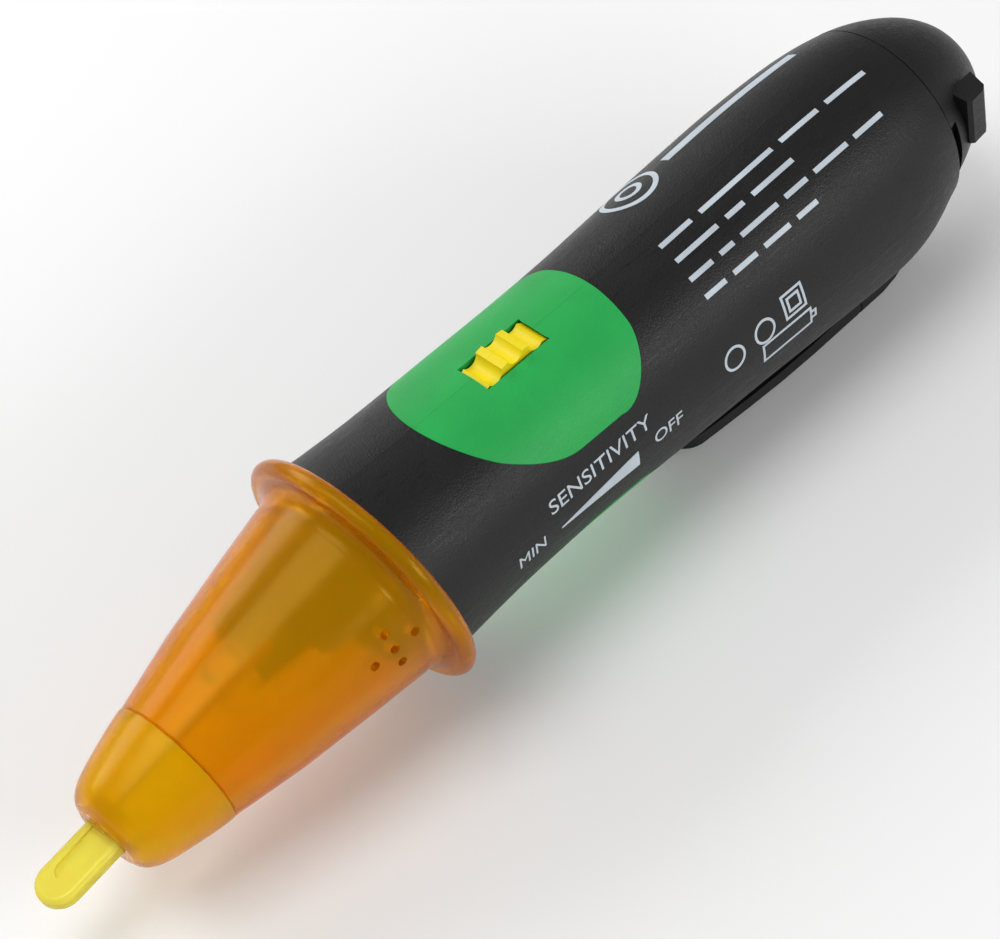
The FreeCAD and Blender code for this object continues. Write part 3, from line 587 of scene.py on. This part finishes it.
    def line(self, points: list[tuple[float, float]], x: float, angle: float,
             width: float = MARK_LINE) -> bpy.types.Object:
        """Prints a closed line.

        Args:
            points: corners of its middle line.
            x: its place along the barrel.
            angle: its place round the barrel.
            width: its width.

        Returns:
            The line.
        """
        line = self.loop(points, width)
        self.wrap(line, x, angle)
        return line

    def legends(self) -> list[bpy.types.Object]:
        """Prints the wheel's legends and the rising mark under them.

        Returns:
            Each word and the mark.
        """
        done = []
        for text, height, length, x, angle in LEGENDS:
            word = self.word(text, height, length)
            self.wrap(word, x, angle)
            done.append(joined([word], "legend_" + text.lower()))
        low, high = RAMP_LOW / 2, RAMP_HIGH / 2
        ramp = self.strip(((0, -low), (RAMP_LENGTH, -high), (RAMP_LENGTH, high), (0, low)), 9)
        self.wrap(ramp, RAMP_X, RAMP_ANGLE)
        done.append(joined([ramp], "sensitivity_ramp"))
        return done

    def bars(self) -> bpy.types.Object:
        """Prints the rows of plain bars.

        Returns:
            All the bars in one piece.
        """
        bars = [self.bar(start, end, BAR_HEIGHT, angle) for angle, runs in BAR_ROWS for start, end in runs]
        return joined(bars, "plain_bars")

    def emblem(self) -> bpy.types.Object:
        """Prints the plain emblem and its stroke.

        Returns:
            The emblem in one piece.
        """
        outer = self.line(self.circle(EMBLEM_OUTER, 40), EMBLEM_X, EMBLEM_ANGLE, EMBLEM_LINE)
        inner = self.line(self.circle(EMBLEM_INNER), EMBLEM_X, EMBLEM_ANGLE, EMBLEM_LINE)
        stroke = self.bar(STROKE_START, STROKE_END, STROKE_HEIGHT, STROKE_ANGLE, 12)
        return joined([outer, inner, stroke], "plain_emblem")

    def marks(self) -> bpy.types.Object:
        """Prints the small marks: a double square, two rings and a cell.

        Returns:
            The marks in one piece.
        """
        lines = [
            self.line(self.rect(3.4, 3.4), 116.6, 80.0),
            self.line(self.rect(1.9, 1.9), 116.6, 80.0),
            self.line(self.circle(1.6), 105.8, 84.0),
            self.line(self.circle(1.6), 111.2, 83.0),
            self.line(self.rect(8.4, 2.6, 8), 114.6, 96.0),
            self.line(self.rect(0.8, 1.0), 119.2, 96.0),
        ]
        return joined(lines, "plain_marks")

    def build(self) -> list[bpy.types.Object]:
        """Prints everything.

        Returns:
            The printed pieces.
        """
        done = [*self.legends(), self.bars(), self.emblem(), self.marks()]
        for piece in done:
            PRINT.dress(piece)
            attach(piece, "case")
        return done


# ---------------------------------------------------------------- studio
@dataclass(frozen=True)
class Softbox:
    """One soft light: its name, place, what it faces, its width and height, and its power in watts."""

    name: str
    place: tuple[float, float, float]
    aim: tuple[float, float, float]
    size: tuple[float, float]
    watts: float


SOFTBOXES = (
    Softbox("key", (0.22, -0.6, 0.3), (0, 0, 0.02), (0.6, 0.16), 2.0),
    Softbox("rim", (-0.05, 0.6, 0.4), (0, 0, 0.02), (0.7, 0.3), 2.4),
    Softbox("top", (-0.2, 0.1, 0.8), (0, 0, 0), (0.5, 0.5), 2.6),
)


@dataclass
class Studio:
    """Pale floor, soft lights and the camera.

    Attributes:
        spot: where the camera is.
        aim: what it looks at.
        roll_deg: how far it is rolled.
        lens_mm: its focal length on a sensor 36 mm wide.
        floor_size: side of the floor, in metres.
        floor_drop: how far the floor lies below the tester's lowest point.
        sky: strength of the even light from all round.
    """

    spot: Vector = field(default_factory=lambda: Vector((-0.199465, -0.25931, 0.38204)))
    aim: Vector = field(default_factory=lambda: Vector((-0.005115, -0.00159, 0.01888)))
    roll_deg: float = -11.87
    lens_mm: float = 143.84
    floor_size: float = 4.0
    floor_drop: float = 0.0001
    sky: float = 0.34

    def camera(self) -> None:
        """Places the camera at its spot, aimed and rolled."""
        data = bpy.data.cameras.new("camera")
        data.lens = self.lens_mm
        data.sensor_width = 36
        data.clip_start, data.clip_end = 0.01, 10
        eye = bpy.data.objects.new("camera", data)
        bpy.context.scene.collection.objects.link(eye)
        eye.location = self.spot
        turn = (self.aim - self.spot).to_track_quat("-Z", "Y").to_matrix().to_4x4()
        eye.rotation_euler = (turn @ Matrix.Rotation(math.radians(self.roll_deg), 4, "Z")).to_euler()
        bpy.context.scene.camera = eye

    def lamp(self, box: Softbox) -> None:
        """Hangs one soft light.

        Args:
            box: the light.
        """
        data = bpy.data.lights.new(box.name, "AREA")
        data.shape = "RECTANGLE"
        data.size, data.size_y = box.size
        data.energy = box.watts
        lamp = bpy.data.objects.new(box.name, data)
        bpy.context.scene.collection.objects.link(lamp)
        lamp.location = box.place
        lamp.rotation_euler = (Vector(box.aim) - Vector(box.place)).to_track_quat("-Z", "Y").to_euler()

    def floor(self) -> None:
        """Lays the pale floor."""
        nothing_selected()
        bpy.ops.mesh.primitive_plane_add(size=self.floor_size, location=(0, 0, -self.floor_drop))
        floor = bpy.context.object
        floor.name = "floor"
        mat = bpy.data.materials.new("floor_white")
        mat.use_nodes = True
        shader = mat.node_tree.nodes["Principled BSDF"]
        shader.inputs["Base Color"].default_value = (0.93, 0.93, 0.93, 1)
        shader.inputs["Roughness"].default_value = 0.95
        floor.data.materials.append(mat)

    def build(self) -> None:
        """Makes the whole studio."""
        self.floor()
        world = bpy.data.worlds.new("studio")
        bpy.context.scene.world = world
        world.use_nodes = True
        back = world.node_tree.nodes["Background"]
        back.inputs["Color"].default_value = (1, 1, 1, 1)
        back.inputs["Strength"].default_value = self.sky
        for box in SOFTBOXES:
            self.lamp(box)
        bpy.context.scene.view_settings.view_transform = "Standard"
        self.camera()


def dress_frame() -> None:
    """Gives every carried-over part its finish."""
    for finish, names in CAD_FINISHES.items():
        finish.dress(*[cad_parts[name] for name in names])
        log.info("%s on %s", finish.name, ", ".join(names))


def main() -> None:
    """Builds the scene."""
    logging.basicConfig(level=logging.INFO, format="%(name)s: %(message)s")
    dress_frame()
    for piece in BarrelPrint().build():
        log.info("piece %s", piece.name)
    Studio().build()


if __name__ == "__main__":
    main()
